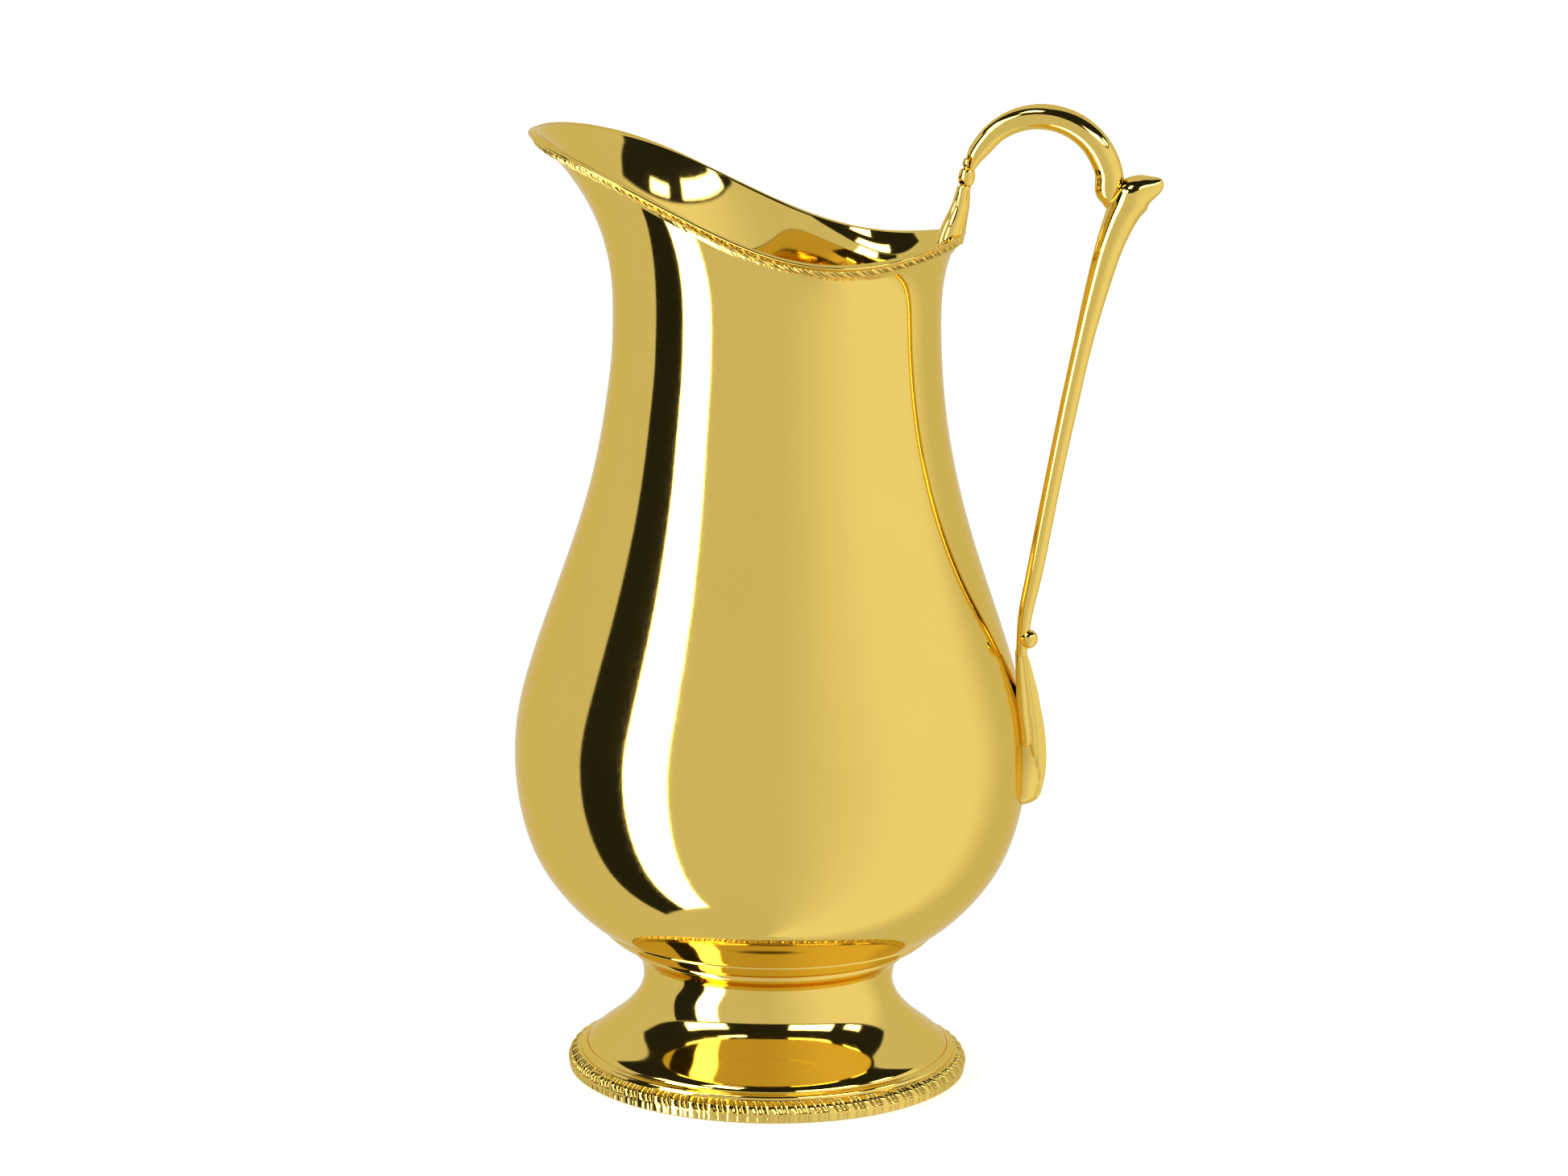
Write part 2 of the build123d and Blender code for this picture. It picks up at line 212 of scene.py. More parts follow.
def polished_gold(name, ripple, ripple_mm, roughness=0.045):
    """Polished gold plate: faint ripples, hairline wear and painted shade in the hollows."""
    material = bpy.data.materials.new(name)
    material.use_nodes = True
    nodes, links = material.node_tree.nodes, material.node_tree.links
    shader = nodes["Principled BSDF"]
    shader.inputs["Metallic"].default_value = 1.0
    shader.inputs["IOR"].default_value = 1.5
    shader.inputs["Specular Tint"].default_value = GOLD_AT_EDGES

    place = nodes.new("ShaderNodeTexCoord")
    cloud = nodes.new("ShaderNodeTexNoise")
    cloud.inputs["Scale"].default_value = CLOUD_SCALE
    cloud.inputs["Detail"].default_value = 3.0
    links.new(place.outputs["Object"], cloud.inputs["Vector"])

    tint = nodes.new("ShaderNodeMix")
    tint.data_type = "RGBA"
    tint.inputs["A"].default_value = (*GOLD, 1)
    tint.inputs["B"].default_value = (GOLD[0] * 0.97, GOLD[1] * 0.96, GOLD[2] * 0.93, 1)
    links.new(cloud.outputs["Fac"], tint.inputs["Factor"])

    # painted shade: the base colour darkens towards the dark gold of the hollows by each point's
    # painted shade share
    shade_attribute = nodes.new("ShaderNodeAttribute")
    shade_attribute.attribute_name = "hollow_shade"
    shaded_gold = nodes.new("ShaderNodeMix")
    shaded_gold.data_type = "RGBA"
    shaded_gold.inputs["B"].default_value = HOLLOW_PAINTED_SHADE
    links.new(shade_attribute.outputs["Fac"], shaded_gold.inputs["Factor"])
    links.new(tint.outputs["Result"], shaded_gold.inputs["A"])
    links.new(shaded_gold.outputs["Result"], shader.inputs["Base Color"])

    hairline = nodes.new("ShaderNodeTexNoise")
    hairline.inputs["Scale"].default_value = HAIRLINE_SCALE
    hairline.inputs["Detail"].default_value = 2.0
    links.new(place.outputs["Object"], hairline.inputs["Vector"])
    gloss = nodes.new("ShaderNodeMapRange")
    gloss.inputs["From Min"].default_value = 0.3
    gloss.inputs["From Max"].default_value = 0.8
    gloss.inputs["To Min"].default_value = roughness
    gloss.inputs["To Max"].default_value = roughness * 1.8
    links.new(hairline.outputs["Fac"], gloss.inputs["Value"])
    links.new(gloss.outputs["Result"], shader.inputs["Roughness"])

    wave = nodes.new("ShaderNodeTexNoise")
    wave.inputs["Scale"].default_value = 1000.0 / ripple_mm
    wave.inputs["Detail"].default_value = 1.0
    links.new(place.outputs["Object"], wave.inputs["Vector"])
    bump = nodes.new("ShaderNodeBump")
    bump.inputs["Strength"].default_value = ripple
    bump.inputs["Distance"].default_value = 0.001
    links.new(wave.outputs["Fac"], bump.inputs["Height"])
    links.new(bump.outputs["Normal"], shader.inputs["Normal"])
    return material


vessel_gold = polished_gold("vessel_gold", ripple=0.010, ripple_mm=14.0)
foot_gold = polished_gold("foot_gold", ripple=0.015, ripple_mm=8.0)
border_gold = polished_gold("border_gold", roughness=0.09, ripple=0.05, ripple_mm=1.6)
handle_gold = polished_gold("handle_gold", ripple=0.03, ripple_mm=6.0)


# ------------------------------------------------------------------ vessel
def rim_line(t):
    """Points of the rim at parameter t: 0 at the handle, pi at the tip of the spout."""
    x = -8.45 + 59.8 * np.cos(t) - 0.5 * np.cos(2 * t) + 1.65 * np.cos(3 * t)
    y = 54.0 * np.sin(t) + 1.44 * np.sin(2 * t) + 5.27 * np.sin(3 * t)
    z = 251.0 - 15.55 * np.cos(t) + 5.29 * np.cos(2 * t) + 2.31 * np.cos(3 * t)
    return np.stack([x, y, z], -1)


def sheet_face(t):
    """Outer face of the vessel as a grid: rows from the bottom's centre to the rim."""
    ring = np.stack([np.cos(t), np.sin(t)], -1)
    rim = rim_line(t)
    power = (2.7 + 0.2 * np.cos(t))[:, None]      # how late the flare opens out
    top = rim[:, :2] - RIM_INSET * ring
    layers = [np.concatenate([r * ring, np.full((len(t), 1), z)], 1) for r, z in BODY_PROFILE]
    for step in LIP_STEPS:
        flat = NECK_R * ring + (top - NECK_R * ring) * step**power
        height = NECK_Z + (rim[:, 2:] - NECK_Z) * step
        layers.append(np.concatenate([flat, height], 1))
    layers = np.array(layers)
    knots = np.concatenate([lengths(BODY_PROFILE),
                            lengths(BODY_PROFILE)[-1] + LIP_LENGTH * np.array(LIP_STEPS)])
    start = np.concatenate([ring, np.zeros((len(t), 1))], 1).reshape(-1)
    at = spline(knots, layers.reshape(len(layers), -1), start=start)
    rows = int(knots[-1])       # one to a millimetre
    return at(np.linspace(0, knots[-1], rows)).reshape(rows, len(t), 3)


angles = np.linspace(0, TURN, COLUMNS, endpoint=False)
outside = sheet_face(angles)
outside_normals = grid_normals(outside)
inside = outside - WALL * outside_normals
vessel = piece_from_grid("vessel_sheet", np.concatenate([outside, inside[::-1]]))
fitted(vessel, "vessel_gold", vessel_gold, "body_shell")


# ------------------------------------------------------------------ rim
def even_turns(count):
    """Parameters of points evenly spaced round the rim."""
    fine = np.linspace(0, TURN, 4001)
    run = lengths(rim_line(fine))
    return np.interp(np.linspace(0, run[-1], count, endpoint=False), run, fine)


def lobe(phase):
    """Height across a repeating group of rounded lobes, 0 in the valleys between them."""
    p = phase % 1.0
    height = np.zeros_like(p)
    for low, high, size in LOBE_GROUP:
        u = np.clip((p - low) / (high - low), 0, 1) * 2 - 1
        inside_lobe = (p >= low) & (p < high)
        height = np.where(inside_lobe, size * np.sqrt(np.clip(1 - u**2, 0, 1)), height)
    return height


rim_t = even_turns(RIM_REPEATS * 26)      # columns to a group of lobes
rim_sheet = sheet_face(rim_t)
rim_out = grid_normals(rim_sheet)
rim_points = rim_line(rim_t)
tangent = np.roll(rim_points, -1, 0) - np.roll(rim_points, 1, 0)
tangent /= np.linalg.norm(tangent, axis=1, keepdims=True)
outward = np.stack([tangent[:, 1], -tangent[:, 0], 0 * tangent[:, 0]], 1)
outward /= np.linalg.norm(outward, axis=1, keepdims=True)

# plain wire over the sheet's edge
wire_phi = np.linspace(0, TURN, 20, endpoint=False)[:, None, None]
wire_up = np.cross(outward, tangent)
wire_middle = rim_points - RIM_INSET * outward
wire_grid = wire_middle + WIRE_PROUD * np.cos(wire_phi) * outward \
    + WIRE_HALF * np.sin(wire_phi) * wire_up
rim_wire = piece_from_grid("rim_edge_wire_polished", wire_grid[::-1], loop=True)
fitted(rim_wire, "border_gold", foot_gold, "rim_edge_wire")


def below_edge(drop, reach=40):
    """Points of the sheet's face and its normals at a distance down from the rim."""
    down = rim_sheet[::-1][:reach]
    normal = rim_out[::-1][:reach]
    steps = np.linalg.norm(np.diff(down, axis=0), axis=2)
    run = np.concatenate([np.zeros((1, steps.shape[1])), np.cumsum(steps, 0)])
    low = np.clip((run <= drop).sum(0) - 1, 0, reach - 2)
    col = np.arange(len(low))
    share = (drop - run[low, col]) / (run[low + 1, col] - run[low, col])
    place = down[low, col] + share[:, None] * (down[low + 1, col] - down[low, col])
    face = normal[low, col] + share[:, None] * (normal[low + 1, col] - normal[low, col])
    return place, face


def rim_border(levels=30):
    """Band of slanted lobes over a plain band, wrapped round the sheet, with painted shade in the
    valleys between the lobes and on the plain band under them.
    """
    total = LOBE_BAND + PLAIN_BAND
    rows, shade_shares = [], []
    turn = np.arange(len(rim_t)) / len(rim_t) * RIM_REPEATS
    for drop in np.linspace(0, total, levels):
        place, face = below_edge(WIRE_HALF + drop)
        share = drop / LOBE_BAND
        height = lobe(turn - RIM_SLANT * share)
        if share <= 1:
            arch = np.sqrt(max(1 - (2 * share - 1)**2, 0))
            proud = 0.2 + (0.3 + 0.95 * height) * arch
            # painted shade in the valleys between the lobes
            hollow_shade = (1 - height) * arch
        else:
            fall = (drop - LOBE_BAND) / PLAIN_BAND
            proud = 0.55 - 0.2 * fall + 0.08 * (lobe(turn - RIM_SLANT) - 0.5) * (1 - fall)
            # faint painted shade on the plain band, under the valleys
            hollow_shade = 0.1 * (1 - fall) * (1 - height)
        rows.append(place + face * proud[:, None])
        shade_shares.append(hollow_shade)
    for drop in (total, 0):
        place, face = below_edge(WIRE_HALF + drop)
        rows.append(place - 0.05 * face)
        shade_shares.append(np.zeros(len(rim_t)))
    return piece_from_grid("rim_border_lobes", np.array(rows)[::-1], np.array(shade_shares)[::-1],
                           loop=True, sharp=50)


fitted(rim_border(), "border_gold", border_gold, "rim_gadroon_border")


# ------------------------------------------------------------------ foot
BAND_TOP, BORDER_TOP, DOME_TOP = 3.0, 6.0, 32.5
LOBE_DEPTH, RIB_DEPTH = 0.85, 0.2
PEDESTAL_WALL = 1.3
STRAIGHT_STEP = 0.5                  # longest step along the straight sides of a section

# closed (r, z) sections of the turned rings: each entry is the next corner after a straight
# side, or (point on the way, corner, number of points) after a curved one
BORDER_SECTION = ((51.2, BAND_TOP), (57.5, BAND_TOP), ((56.75, 4.8), (54.8, BORDER_TOP), 22),
                  (51.2, BORDER_TOP))
BAND_SECTION = ((51.1, 0.0), (56.0, 0.0), (57.2, 0.7), (57.5, BAND_TOP), (51.1, BAND_TOP))
STEP_SECTION = ((54.0, BORDER_TOP), ((53.6, 6.9), (52.6, 7.35), 16), ((52.2, 7.6), (51.9, 7.3), 10),
                (51.9, BORDER_TOP))
COLLAR_SECTION = ((36.8, DOME_TOP), ((37.3, 33.4), (38.9, 34.9), 16),
                  ((40.2, 36.3), (40.4, 37.1), 12), (40.4, 38.6), (38.0, 38.2), (35.6, DOME_TOP))
SEAT_SECTION = ((40.4, 37.3), ((44.6, 39.0), (47.6, 41.6), 30), ((48.1, 42.2), (47.9, 42.7), 10),
                (40.4, 39.2))
PEDESTAL = [(52.0, BORDER_TOP), (51.95, 7.4), (50.7, 9.1), (48.5, 10.9), (44.2, 14.2), (40.1, 18.2),
            (37.4, 22.0), (35.9, 27.4), (36.8, DOME_TOP)]     # outer face of the dome


def foot_lobes(points, t):
    """Presses slanted lobes into the swell of the foot's border, towards a point inside it, with
    painted shade in the valleys between them.
    """
    middle = np.array([51.0, 2.6])
    r = np.hypot(points[..., 0], points[..., 1])
    z = points[..., 2]
    share = np.clip((z - BAND_TOP) / (BORDER_TOP - BAND_TOP), 0, 1)
    on_swell = smoothstep(52.5, 54.0, r) * np.sin(pi * np.clip(share, 0.02, 0.98))**0.4
    on_swell = np.where((z > BAND_TOP) & (z < BORDER_TOP), on_swell, 0)
    height = lobe(t[None] / TURN * FOOT_REPEATS + FOOT_SLANT * share)
    press = LOBE_DEPTH * (1 - height) * on_swell
    reach = np.hypot(r - middle[0], z - middle[1])
    scale = 1 - press / np.maximum(reach, 0.1)
    new_r = middle[0] + (r - middle[0]) * scale
    points = points.copy()
    points[..., 0] = new_r * np.cos(t)
    points[..., 1] = new_r * np.sin(t)
    points[..., 2] = middle[1] + (z - middle[1]) * scale
    # second value: painted shade in the valleys between the lobes
    return points, (1 - height) * on_swell


def band_ribs(points, t):
    """Faint upright ribs round the foot's band, with painted shade in the grooves between them."""
    r = np.hypot(points[..., 0], points[..., 1])
    z = points[..., 2]
    outer = smoothstep(55.5, 56.5, r) * smoothstep(0.2, 0.9, z) * (1 - smoothstep(2.5, BAND_TOP, z))
    press = RIB_DEPTH * (1 - lobe(t[None] / TURN * FOOT_REPEATS)) * outer
    points = points.copy()
    for i, axis in enumerate((np.cos(t), np.sin(t))):
        points[..., i] -= press * axis
    # second value: painted shade in the grooves, by their depth
    return points, 1.5 * press


def section(start, *parts):
    """Points of a closed section, from corner to corner and back to the first one."""
    points, here = [np.array([start], float)], start
    for part in (*parts, start):
        if len(part) == 3:
            middle, corner, count = part
            run = rounded([here, middle, corner], count)
        else:
            corner = part
            length = np.linalg.norm(np.subtract(corner, here))
            run = np.linspace(here, corner, max(int(length / STRAIGHT_STEP), 1) + 1)
        points.append(run[1:])
        here = corner
    return np.concatenate(points)[:-1]


foot_border = lathe("foot_border_lobes", section(*BORDER_SECTION), foot_lobes, FOOT_REPEATS * 40,
                    loop=True, sharp=50)
fitted(foot_border, "border_gold", border_gold, "foot_gadroon_border")
foot_band = lathe("foot_band_ribbed", section(*BAND_SECTION), band_ribs, FOOT_REPEATS * 24,
                  loop=True, sharp=40)
fitted(foot_band, "border_gold", border_gold, "foot_base_band")
foot_step = lathe("foot_step_cove", section(*STEP_SECTION), loop=True, sharp=40)
fitted(foot_step, "foot_gold", foot_gold, "foot_step_ring")

dome = rounded(PEDESTAL, 120)
along = np.gradient(dome, axis=0)
along /= np.linalg.norm(along, axis=1, keepdims=True)
under = dome + PEDESTAL_WALL * np.stack([-along[:, 1], along[:, 0]], 1)
under[:, 1] = np.clip(under[:, 1], BORDER_TOP, DOME_TOP)
foot_dome = lathe("foot_dome", np.concatenate([dome, under[::-1]]), loop=True, sharp=50)
fitted(foot_dome, "foot_gold", foot_gold, "foot_pedestal")

collar = lathe("stem_collar_turned", section(*COLLAR_SECTION), loop=True, sharp=40)
fitted(collar, "foot_gold", foot_gold, "stem_collar")
seat = lathe("body_seat_cup", section(*SEAT_SECTION), loop=True, sharp=40)
fitted(seat, "foot_gold", foot_gold, "body_seat_ring")


# ------------------------------------------------------------------ handle
SPUR_AND_STEM = [      # (x, z, half thickness) from the spur's tip down to the leaf
    (107.25, 259.7, 0.02), (107.05, 259.6, 0.95), (106.3, 259.2, 1.9), (104.8, 258.4, 2.9),
    (102.0, 257.3, 4.3), (99.2, 255.4, 5.4), (96.9, 251.8, 4.95), (95.0, 247.3, 4.35),
    (93.2, 242.3, 3.95), (90.8, 233.6, 3.5), (88.6, 224.5, 3.1), (86.6, 215.4, 2.75),
    (83.0, 197.2, 2.58), (79.6, 178.8, 2.42), (76.4, 160.4, 2.4), (73.6, 144.5, 2.25),
    (72.2, 137.1, 2.05), (71.5, 129.5, 1.75), (71.3, 124.6, 1.55),
]
stem = rod("handle_stem_turned", SPUR_AND_STEM, count=420)
fitted(stem, "handle_gold", handle_gold, "handle_stem")

# the arch's two ends, the crook tucked into the stem and the thin end on the beads
CROOK_END = [(94.0, 250.6, 0.4), (93.8, 251.6, 1.5), (93.5, 252.8, 2.4), (93.2, 254.2, 3.1)]
BEAD_END = [(55.1, 265.3, 2.45), (54.3, 263.4, 1.9), (53.7, 261.6, 1.3), (53.4, 260.4, 0.8)]
CROWN_X, CROWN_Z = 73.6, 258.0                               # centre of the arch
CROWN_R, CROWN_OPENING, CROWN_ANGLE = 18.42, 1.49e-4, 68     # least radius, its growth, its angle
ARCH_HALF, ARCH_TAPER = 3.95, 4.8e-5                         # half thickness, and its loss
ARCH_ANGLES = np.linspace(-6, 150, 12)                       # degrees, from crook to beads
arch = list(CROOK_END)
for angle in ARCH_ANGLES:
    reach = CROWN_R + CROWN_OPENING * (angle - CROWN_ANGLE)**2
    turn = radians(angle)
    half = ARCH_HALF - ARCH_TAPER * angle**2
    arch.append((CROWN_X + reach * cos(turn), CROWN_Z + reach * sin(turn), half))
arch += BEAD_END
scroll = rod("handle_scroll_arch", arch, count=300)
fitted(scroll, "handle_gold", handle_gold, "handle_scroll")


def leaning_lathe(name, foot, lean, profile, cols=48):
    """Turned piece on an axis that leans in the XZ plane."""
    up = np.array([lean, 0, 1.0]) / np.hypot(lean, 1)
    side = np.array([up[2], 0, -up[0]])
    t = np.linspace(0, TURN, cols, endpoint=False)
    r, h = np.asarray(profile, float).T[:, :, None]
    centre = np.array([foot[0], 0, foot[1]])
    points = centre + h[..., None] * up + (r * np.cos(t))[..., None] * side \
        + (r * np.sin(t))[..., None] * np.array([0, 1.0, 0])
    return piece_from_grid(name, points)


def bulge(r, low, high, count):
    """Profile of a bead from one height to another."""
    a = np.linspace(-pi / 2, pi / 2, count)
    return np.stack([0.55 * r + 0.45 * r * np.cos(a)**0.8,
                     (low + high) / 2 + (high - low) / 2 * np.sin(a)], 1)


BEADS_FOOT, BEADS_LEAN = (52.4, 256.2), 0.13     # (x, z) of their lower end, slope of their axis
# radius, lower end, upper end and rows of each bead and ring
BEADS = [(1.75, 0.0, 0.8, 8), (2.35, 0.8, 5.4, 26), (1.4, 5.4, 5.8, 6), (1.8, 5.8, 8.3, 16)]
beads = np.concatenate([[(0, 0)], *(bulge(*bead) for bead in BEADS), [(0, BEADS[-1][2])]])
fitted(leaning_lathe("handle_beads_turned", BEADS_FOOT, BEADS_LEAN, beads), "handle_gold",
       handle_gold, "handle_beads")

BALL_SPOT, BALL_R = (73.1, 129.5), 2.75
ball_angle = np.linspace(-pi / 2, pi / 2, 32)
ball = np.stack([BALL_R * np.cos(ball_angle), BALL_R * np.sin(ball_angle)], 1)
ball[[0, -1], 0] = 0
fitted(leaning_lathe("handle_ball_turned", BALL_SPOT, 0.0, ball), "handle_gold", handle_gold,
       "handle_ball")


# leaf on the belly, as (height, x of its outermost line, half width)
LEAF = [(125.9, 72.6, 1.4), (122.5, 73.9, 2.4), (119.0, 74.9, 3.3), (114.7, 76.1, 4.4),
        (110.0, 77.1, 5.3), (105.0, 78.1, 6.0), (100.0, 78.8, 6.4), (92.0, 79.0, 6.4),
        (86.0, 78.0, 5.7), (81.4, 76.6, 4.8)]
LEAF_TOP_X, LEAF_SLOPE = 69.9, 0.07     # inner side of its free top, and its slope outwards
LEAF_END = 3.4                          # length over which its lower end rounds off
# petals from the middle outwards, as (angle from the outermost line, half angle, lower end);
# the middle one runs past the leaf's end
PETALS = [(0.0, 0.16, 70.0), (0.22, 0.15, 84.5), (0.42, 0.16, 88.5), (0.64, 0.17, 92.5),
          (0.88, 0.19, 96.0), (1.28, 0.36, 99.3)]
BACK_OF_LEAF = 1.9                      # past this angle it lies against the vessel
FLUTE_DEPTH, STEP_DEPTH = 0.22, 0.14    # shares of the leaf's depth, inside a petal and beside it
LEAF_SINK = 0.6                         # how far its back is let into the vessel's face


def belly_leaf():
    """Shell-like leaf whose overlapping petals run down from the stem, longest in the middle."""
    top, low_end = LEAF[0][0], LEAF[-1][0]
    at = spline([p[0] for p in LEAF[::-1]], [p[1:] for p in LEAF[::-1]])
    z = np.concatenate([np.linspace(top, low_end + LEAF_END, 220),
                        low_end + LEAF_END * np.cos(np.linspace(0, pi / 2, 60))[1:]])
    outer, half = at(z).T
    sheet = rounded(BODY_PROFILE[3:-1], 400)
    inner = np.maximum(np.interp(z, sheet[:, 1], sheet[:, 0]) - LEAF_SINK,
                       LEAF_TOP_X + LEAF_SLOPE * (top - z) - 30 * smoothstep(108, 100, z))
    share = np.clip((z - low_end) / LEAF_END, 0, 1)
    reach, half = np.array([outer - inner, half]) * np.sqrt(share * (2 - share))
    phi = np.linspace(0, TURN, 240, endpoint=False)
    bend = np.abs(np.where(phi > pi, phi - TURN, phi))       # 0 outermost, pi / 2 at the sides
    ridge = np.full((len(z), len(phi)), 0.8)
    for middle, spread, low in PETALS:
        off = bend - middle
        body = np.where(off < 0, 1 - FLUTE_DEPTH * (off / spread)**2,
                        1 - STEP_DEPTH * smoothstep(0, 0.3, off))
        reached = z[:, None] - low - 1.6 * np.clip(np.abs(off) / spread, 0, 1.5)**2
        tip = np.clip(reached / 2.0, 0, 1)
        ridge = np.maximum(ridge, body * (0.80 + 0.20 * np.sqrt(tip * (2 - tip))))
    ridge = np.where(bend[None] > BACK_OF_LEAF, 1.0, ridge)
    x = inner[:, None] + reach[:, None] * np.cos(phi) * ridge
    x = np.where(np.cos(phi) < 0, inner[:, None] + 0.5 * np.cos(phi), x)
    y = half[:, None] * np.sin(phi) * ridge
    grid = np.stack([x, y, z[:, None] + 0 * x], 2)
    # painted shade in the grooves between the petals, none on the lower end
    plain_end = smoothstep(low_end + 8, low_end + 18, z)[:, None]      # no tint on the lower end
    hollow_shade = np.clip((0.90 - ridge) * 5, 0, 0.6) * plain_end
    tops = [np.repeat(grid[row].mean(0)[None, None], len(phi), 1) for row in (0, -1)]
    grid = np.concatenate([tops[0], grid, tops[1]])
    hollow_shade = np.concatenate([hollow_shade[:1] * 0, hollow_shade, hollow_shade[:1] * 0])
    return piece_from_grid("handle_leaf_fluted", grid[::-1], hollow_shade[::-1])


fitted(belly_leaf(), "handle_gold", handle_gold, "handle_belly_leaf")


# leaf over the rim, as (height, x of its middle, half depth, half width)
RIM_LEAF = [(256.6, 52.0, 1.9, 2.3), (252.0, 51.3, 2.5, 3.3), (247.0, 49.9, 3.3, 5.0),
            (243.0, 48.8, 3.8, 6.1), (240.6, 48.2, 3.9, 6.5)]


def rim_leaf():
    """Fluted leaf that opens out downwards over the rim, its flutes on the inner side."""
    levels = np.array(RIM_LEAF)
    at = spline(levels[::-1, 0], levels[::-1, 1:])
    z = np.linspace(levels[0, 0], levels[-1, 0], 90)
    middle, depth, half = at(z).T[:, :, None]
    phi = np.linspace(0, TURN, 120, endpoint=False)
    inner = smoothstep(0.1, 0.5, -np.cos(phi))
    ripple = inner * (1 - np.abs(np.cos(4.5 * (phi - pi))))      # nine flutes to a full turn
    flute = 1 - 0.10 * ripple * smoothstep(256, 250, z)[:, None]
    grid = np.stack([middle + depth * np.cos(phi) * flute, half * np.sin(phi) * flute,
                     z[:, None] + 0 * flute], 2)
    ends = [np.repeat(grid[row].mean(0)[None, None], len(phi), 1) for row in (0, -1)]
    grid = np.concatenate([ends[0], grid, ends[1]])
    return piece_from_grid("handle_leaf_over_rim", grid[::-1], sharp=60)


fitted(rim_leaf(), "handle_gold", handle_gold, "handle_rim_leaf")


# ------------------------------------------------------------------ floor, light and camera
CAMERA_AZIMUTH, CAMERA_PITCH, CAMERA_ROLL = 9.5, 10.95, 0.80
CAMERA_SPOT = Vector((3.02, -1236.4, 380.0)) * MM       # before turning by the azimuth
LENS, SENSOR = 101.75, 36.0
FLOOR_HALF, FLOOR_DROP, FLOOR_GLOW = 12.0, 0.0002, 0.55  # metres, and emission
TENT, KEY, STRIP, DARK = 0.74, 1.02, 7.5, 0.02          # brightness of the studio's surfaces
# azimuths and elevations of the strip light, the black flag beside it, the dark ceiling and
# the softboxes, in degrees
STRIP_LIGHT, FLAG = ((-68, -46), (-62, 30)), ((-93, -68), (-62, 30))
CEILING = (-128, 122), (30.5, 91)
SOFTBOXES = [
    ((22, 66), (33, 43)), ((80, 97), (33, 39)), ((-84, -40), (33, 43)), ((-56, -24), (54, 66)),
]


def floor():
    """Pale plain floor, a little below the pitcher's foot and not shown in its reflections."""
    mesh = bpy.data.meshes.new("floor")
    corners = [(FLOOR_HALF * x, FLOOR_HALF * y, 0) for x, y in ((-1, -1), (1, -1), (1, 1), (-1, 1))]
    mesh.from_pydata(corners, [], [(0, 1, 2, 3)])
    obj = bpy.data.objects.new("floor", mesh)
    bpy.context.scene.collection.objects.link(obj)
    obj.location.z = -FLOOR_DROP
    paint = bpy.data.materials.new("floor_paint")
    paint.use_nodes = True
    shader = paint.node_tree.nodes["Principled BSDF"]
    shader.inputs["Base Color"].default_value = (0.85, 0.85, 0.85, 1)
    shader.inputs["Roughness"].default_value = 0.9
    shader.inputs["Emission Color"].default_value = (1, 1, 1, 1)
    shader.inputs["Emission Strength"].default_value = FLOOR_GLOW
    mesh.materials.append(paint)
    obj.visible_glossy = False


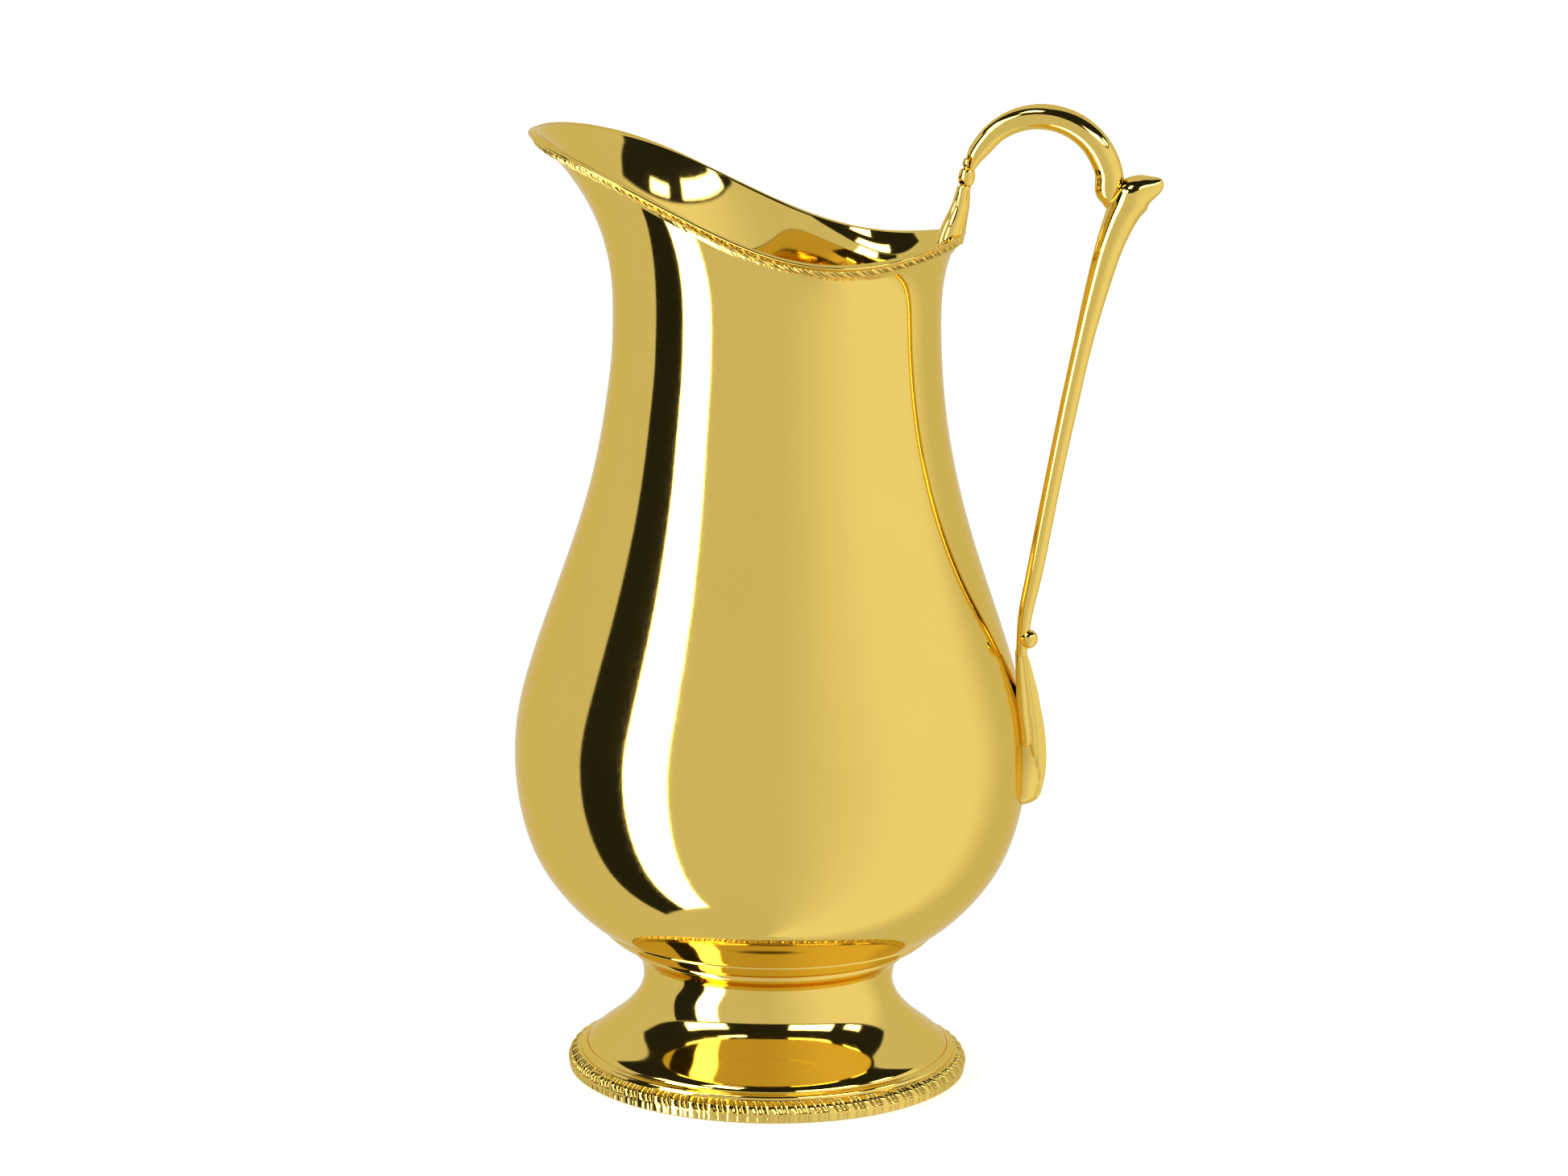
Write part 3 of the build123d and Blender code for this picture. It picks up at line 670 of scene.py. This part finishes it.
class Sky:
    """One soft studio that lights every piece alike: tent, flag, strip light and softboxes."""

    def __init__(self):
        world = bpy.data.worlds.new("studio")
        bpy.context.scene.world = world
        world.use_nodes = True
        self.nodes, self.links = world.node_tree.nodes, world.node_tree.links
        coord = self.nodes.new("ShaderNodeTexCoord")
        split = self.nodes.new("ShaderNodeSeparateXYZ")
        self.links.new(coord.outputs["Generated"], split.inputs[0])
        x, y, z = split.outputs
        heading = self.math("ARCTAN2", x, self.math("MULTIPLY", y, -1.0))
        turned = self.math("SUBTRACT", heading, radians(CAMERA_AZIMUTH))
        self.azimuth = self.math("WRAP", turned, pi, -pi)
        self.elevation = self.math("ARCSINE", z)

    def math(self, operation, *values):
        """Output of a maths node fed with numbers or sockets."""
        node = self.nodes.new("ShaderNodeMath")
        node.operation = operation
        for socket, value in zip(node.inputs, values):
            if isinstance(value, (int, float)):
                socket.default_value = value
            else:
                self.links.new(value, socket)
        return node.outputs[0]

    def step(self, value, low, high):
        """0 below one angle, 1 above another, in degrees."""
        node = self.nodes.new("ShaderNodeMapRange")
        node.interpolation_type = "SMOOTHSTEP"
        self.links.new(value, node.inputs["Value"])
        node.inputs["From Min"].default_value = radians(low)
        node.inputs["From Max"].default_value = radians(high)
        return node.outputs["Result"]

    def window(self, az, el, soft=1.5):
        """1 inside a rectangle of directions, 0 outside it."""
        parts = [self.step(self.azimuth, az[0] - soft, az[0] + soft),
                 self.math("SUBTRACT", 1.0, self.step(self.azimuth, az[1] - soft, az[1] + soft)),
                 self.step(self.elevation, el[0] - soft, el[0] + soft),
                 self.math("SUBTRACT", 1.0, self.step(self.elevation, el[1] - soft, el[1] + soft))]
        total = parts[0]
        for part in parts[1:]:
            total = self.math("MULTIPLY", total, part)
        return total

    def lay(self, below, value, share):
        """Lays a brightness over another where share is 1."""
        up = self.math("MULTIPLY", share, value)
        rest = self.math("MULTIPLY", self.math("SUBTRACT", 1.0, share), below)
        return self.math("ADD", up, rest)

    def finish(self, light):
        """Makes a brightness the light of the world."""
        back = self.nodes["Background"]
        self.links.new(light, back.inputs["Color"])
        back.inputs["Strength"].default_value = 1.0


def studio():
    """Azimuth is 0 at the camera's side and grows to the right; elevation is 0 at the horizon."""
    sky = Sky()
    light = sky.lay(TENT, KEY, sky.step(sky.azimuth, -5, 65))
    light = sky.lay(light, TENT, sky.step(sky.azimuth, 100, 128))
    light = sky.lay(light, STRIP, sky.window(*STRIP_LIGHT, 0.6))
    light = sky.lay(light, DARK, sky.window(*FLAG, 0.6))
    light = sky.lay(light, DARK, sky.window(*CEILING, 1.0))
    for az, el in SOFTBOXES:
        light = sky.lay(light, STRIP, sky.window(az, el))
    sky.finish(light)


def camera():
    """Camera at the photograph's viewing angle."""
    data = bpy.data.cameras.new("camera")
    data.lens, data.sensor_width = LENS, SENSOR
    data.clip_end = 50
    obj = bpy.data.objects.new("camera", data)
    bpy.context.scene.collection.objects.link(obj)
    turn = Matrix.Rotation(radians(CAMERA_AZIMUTH), 4, "Z")
    tilt = Euler((radians(90 - CAMERA_PITCH), 0, 0)).to_matrix().to_4x4()
    roll = Matrix.Rotation(radians(CAMERA_ROLL), 4, "Z")
    obj.matrix_world = turn @ Matrix.Translation(CAMERA_SPOT) @ tilt @ roll
    bpy.context.scene.camera = obj


floor()
studio()
camera()
bpy.context.scene.view_settings.view_transform = "Standard"
